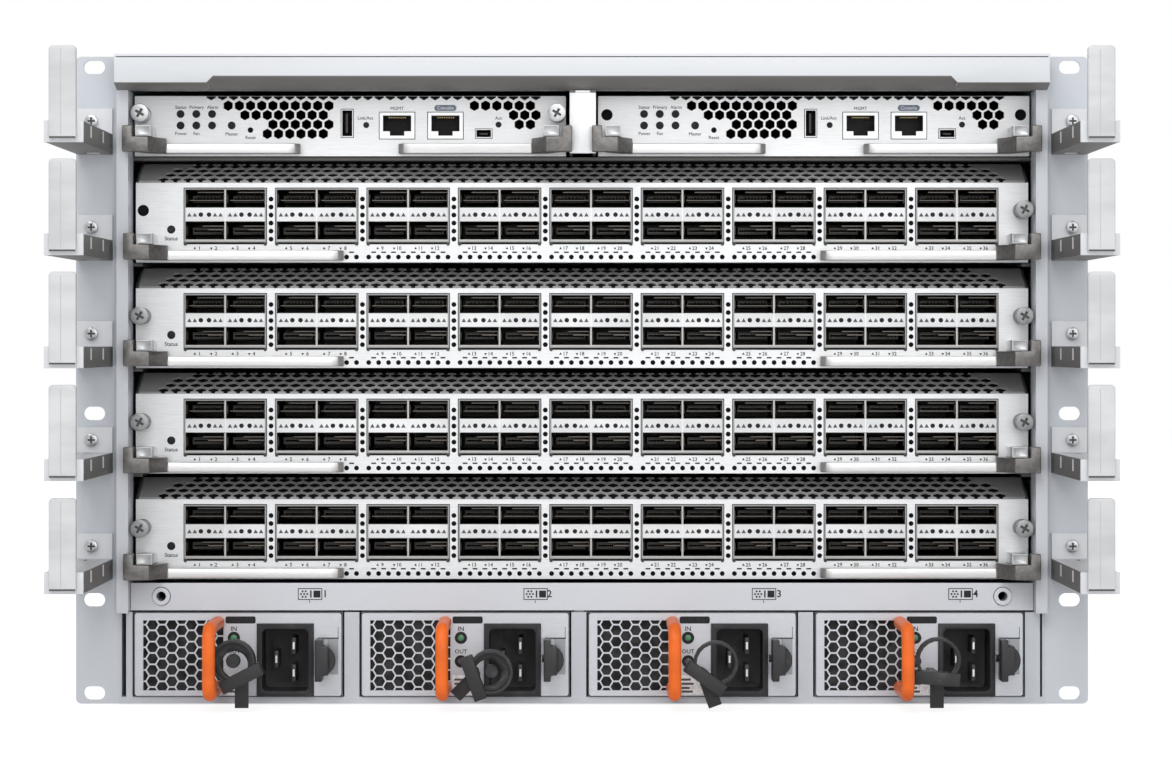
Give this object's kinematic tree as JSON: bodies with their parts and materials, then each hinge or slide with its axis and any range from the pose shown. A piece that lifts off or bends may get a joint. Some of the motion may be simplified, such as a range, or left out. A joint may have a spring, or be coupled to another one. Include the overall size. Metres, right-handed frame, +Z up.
{
  "type": "modular chassis switch",
  "caption": "Rack-mounted modular network chassis with sliding line cards, management modules, power supplies, side cable arms and rear fan trays.",
  "frame": {"origin": "Under the middle of the front: the underside of the base pan, on the plane of the rack ears' front faces.", "axes": "+X to the right seen from the front, +Y to the back, +Z up."},
  "size_m": [0.4826, 0.7875, 0.3085],
  "materials": {
    "case_paint": "powder coat, light blue-grey, satin",
    "fascia_paint": "powder coat, pale silver-grey, satin",
    "ear_paint": "powder coat, blue-grey, satin",
    "arm_paint": "powder coat, light grey",
    "shelf_paint": "powder coat, light blue-grey",
    "finger_plastic": "moulded, light grey, fine texture",
    "cage_steel": "galvanised sheet",
    "face_steel": "bright plated sheet",
    "port_steel": "plated sheet cages on a circuit board",
    "lever_metal": "dark nickel-plated casting",
    "supply_steel": "bright plated sheet",
    "inlet_plastic": "moulded, black",
    "grip_plastic": "coated, orange",
    "tie_nylon": "moulded, black",
    "latch_plastic": "moulded, black",
    "fan_paint": "powder coat, light blue-grey"
  },
  "bodies": {
    "chassis": {"side_walls": "case_paint", "top_cover": "case_paint", "base_pan": "case_paint", "top_fascia": "fascia_paint", "rack_ears": "ear_paint", "cable_arms": "arm_paint", "cable_fingers": "finger_plastic", "power_shelf": "shelf_paint", "card_cage": "cage_steel"},
    "line_card_1": {"line_card_1_tray": "face_steel", "line_card_1_board": "port_steel"},
    "line_card_1_lever_left": {"line_card_1_lever_left": "lever_metal"},
    "line_card_1_lever_right": {"line_card_1_lever_right": "lever_metal"},
    "line_card_2": {"line_card_2_tray": "face_steel", "line_card_2_board": "port_steel"},
    "line_card_2_lever_left": {"line_card_2_lever_left": "lever_metal"},
    "line_card_2_lever_right": {"line_card_2_lever_right": "lever_metal"},
    "line_card_3": {"line_card_3_tray": "face_steel", "line_card_3_board": "port_steel"},
    "line_card_3_lever_left": {"line_card_3_lever_left": "lever_metal"},
    "line_card_3_lever_right": {"line_card_3_lever_right": "lever_metal"},
    "line_card_4": {"line_card_4_tray": "face_steel", "line_card_4_board": "port_steel"},
    "line_card_4_lever_left": {"line_card_4_lever_left": "lever_metal"},
    "line_card_4_lever_right": {"line_card_4_lever_right": "lever_metal"},
    "management_module_1": {"management_module_1_tray": "face_steel", "management_module_1_board": "port_steel"},
    "management_module_1_lever_left": {"management_module_1_lever_left": "lever_metal"},
    "management_module_1_lever_right": {"management_module_1_lever_right": "lever_metal"},
    "management_module_2": {"management_module_2_tray": "face_steel", "management_module_2_board": "port_steel"},
    "management_module_2_lever_left": {"management_module_2_lever_left": "lever_metal"},
    "management_module_2_lever_right": {"management_module_2_lever_right": "lever_metal"},
    "power_supply_1": {"power_supply_1_case": "supply_steel", "power_supply_1_vent": "supply_steel", "power_supply_1_inlet": "inlet_plastic", "power_supply_1_grip": "grip_plastic", "power_supply_1_tie": "tie_nylon"},
    "power_supply_1_latch": {"power_supply_1_latch": "latch_plastic"},
    "power_supply_2": {"power_supply_2_case": "supply_steel", "power_supply_2_vent": "supply_steel", "power_supply_2_inlet": "inlet_plastic", "power_supply_2_grip": "grip_plastic", "power_supply_2_tie": "tie_nylon"},
    "power_supply_2_latch": {"power_supply_2_latch": "latch_plastic"},
    "power_supply_3": {"power_supply_3_case": "supply_steel", "power_supply_3_vent": "supply_steel", "power_supply_3_inlet": "inlet_plastic", "power_supply_3_grip": "grip_plastic", "power_supply_3_tie": "tie_nylon"},
    "power_supply_3_latch": {"power_supply_3_latch": "latch_plastic"},
    "power_supply_4": {"power_supply_4_case": "supply_steel", "power_supply_4_vent": "supply_steel", "power_supply_4_inlet": "inlet_plastic", "power_supply_4_grip": "grip_plastic", "power_supply_4_tie": "tie_nylon"},
    "power_supply_4_latch": {"power_supply_4_latch": "latch_plastic"},
    "fan_tray_1": {"fan_tray_1": "fan_paint"},
    "fan_tray_2": {"fan_tray_2": "fan_paint"},
    "fan_tray_3": {"fan_tray_3": "fan_paint"}
  },
  "joints": [
    {"name": "line_card_1_slide", "type": "slide", "parent": "chassis", "child": "line_card_1", "axis": [0, -1, 0], "range_m": [0, 0.45]},
    {"name": "line_card_1_lever_left_hinge", "type": "hinge", "parent": "line_card_1", "child": "line_card_1_lever_left", "pos_m": [-0.2146, -0.0122, 0.2177], "axis": [0, 0, -1], "range_deg": [0, 60]},
    {"name": "line_card_1_lever_right_hinge", "type": "hinge", "parent": "line_card_1", "child": "line_card_1_lever_right", "pos_m": [0.2146, -0.0122, 0.2177], "axis": [0, 0, 1], "range_deg": [0, 60]},
    {"name": "line_card_2_slide", "type": "slide", "parent": "chassis", "child": "line_card_2", "axis": [0, -1, 0], "range_m": [0, 0.45]},
    {"name": "line_card_2_lever_left_hinge", "type": "hinge", "parent": "line_card_2", "child": "line_card_2_lever_left", "pos_m": [-0.2146, -0.0122, 0.1671], "axis": [0, 0, -1], "range_deg": [0, 60]},
    {"name": "line_card_2_lever_right_hinge", "type": "hinge", "parent": "line_card_2", "child": "line_card_2_lever_right", "pos_m": [0.2146, -0.0122, 0.1671], "axis": [0, 0, 1], "range_deg": [0, 60]},
    {"name": "line_card_3_slide", "type": "slide", "parent": "chassis", "child": "line_card_3", "axis": [0, -1, 0], "range_m": [0, 0.45]},
    {"name": "line_card_3_lever_left_hinge", "type": "hinge", "parent": "line_card_3", "child": "line_card_3_lever_left", "pos_m": [-0.2146, -0.0122, 0.1165], "axis": [0, 0, -1], "range_deg": [0, 60]},
    {"name": "line_card_3_lever_right_hinge", "type": "hinge", "parent": "line_card_3", "child": "line_card_3_lever_right", "pos_m": [0.2146, -0.0122, 0.1165], "axis": [0, 0, 1], "range_deg": [0, 60]},
    {"name": "line_card_4_slide", "type": "slide", "parent": "chassis", "child": "line_card_4", "axis": [0, -1, 0], "range_m": [0, 0.45]},
    {"name": "line_card_4_lever_left_hinge", "type": "hinge", "parent": "line_card_4", "child": "line_card_4_lever_left", "pos_m": [-0.2146, -0.0122, 0.0659], "axis": [0, 0, -1], "range_deg": [0, 60]},
    {"name": "line_card_4_lever_right_hinge", "type": "hinge", "parent": "line_card_4", "child": "line_card_4_lever_right", "pos_m": [0.2146, -0.0122, 0.0659], "axis": [0, 0, 1], "range_deg": [0, 60]},
    {"name": "management_module_1_slide", "type": "slide", "parent": "chassis", "child": "management_module_1", "axis": [0, -1, 0], "range_m": [0, 0.44]},
    {"name": "management_module_1_lever_left_hinge", "type": "hinge", "parent": "management_module_1", "child": "management_module_1_lever_left", "pos_m": [-0.21515, -0.0122, 0.2687], "axis": [0, 0, -1], "range_deg": [0, 60]},
    {"name": "management_module_1_lever_right_hinge", "type": "hinge", "parent": "management_module_1", "child": "management_module_1_lever_right", "pos_m": [-0.00715, -0.0122, 0.2687], "axis": [0, 0, 1], "range_deg": [0, 60]},
    {"name": "management_module_2_slide", "type": "slide", "parent": "chassis", "child": "management_module_2", "axis": [0, -1, 0], "range_m": [0, 0.44]},
    {"name": "management_module_2_lever_left_hinge", "type": "hinge", "parent": "management_module_2", "child": "management_module_2_lever_left", "pos_m": [0.00715, -0.0122, 0.2687], "axis": [0, 0, -1], "range_deg": [0, 60]},
    {"name": "management_module_2_lever_right_hinge", "type": "hinge", "parent": "management_module_2", "child": "management_module_2_lever_right", "pos_m": [0.21515, -0.0122, 0.2687], "axis": [0, 0, 1], "range_deg": [0, 60]},
    {"name": "power_supply_1_slide", "type": "slide", "parent": "chassis", "child": "power_supply_1", "axis": [0, -1, 0], "range_m": [0, 0.31]},
    {"name": "power_supply_1_latch_press", "type": "slide", "parent": "power_supply_1", "child": "power_supply_1_latch", "axis": [-1, 0, 0], "range_m": [0, 0.0024], "stiffness_N_per_m": 600},
    {"name": "power_supply_2_slide", "type": "slide", "parent": "chassis", "child": "power_supply_2", "axis": [0, -1, 0], "range_m": [0, 0.31]},
    {"name": "power_supply_2_latch_press", "type": "slide", "parent": "power_supply_2", "child": "power_supply_2_latch", "axis": [-1, 0, 0], "range_m": [0, 0.0024], "stiffness_N_per_m": 600},
    {"name": "power_supply_3_slide", "type": "slide", "parent": "chassis", "child": "power_supply_3", "axis": [0, -1, 0], "range_m": [0, 0.31]},
    {"name": "power_supply_3_latch_press", "type": "slide", "parent": "power_supply_3", "child": "power_supply_3_latch", "axis": [-1, 0, 0], "range_m": [0, 0.0024], "stiffness_N_per_m": 600},
    {"name": "power_supply_4_slide", "type": "slide", "parent": "chassis", "child": "power_supply_4", "axis": [0, -1, 0], "range_m": [0, 0.31]},
    {"name": "power_supply_4_latch_press", "type": "slide", "parent": "power_supply_4", "child": "power_supply_4_latch", "axis": [-1, 0, 0], "range_m": [0, 0.0024], "stiffness_N_per_m": 600},
    {"name": "fan_tray_1_slide", "type": "slide", "parent": "chassis", "child": "fan_tray_1", "axis": [0, 1, 0], "range_m": [0, 0.12]},
    {"name": "fan_tray_2_slide", "type": "slide", "parent": "chassis", "child": "fan_tray_2", "axis": [0, 1, 0], "range_m": [0, 0.12]},
    {"name": "fan_tray_3_slide", "type": "slide", "parent": "chassis", "child": "fan_tray_3", "axis": [0, 1, 0], "range_m": [0, 0.12]}
  ]
}
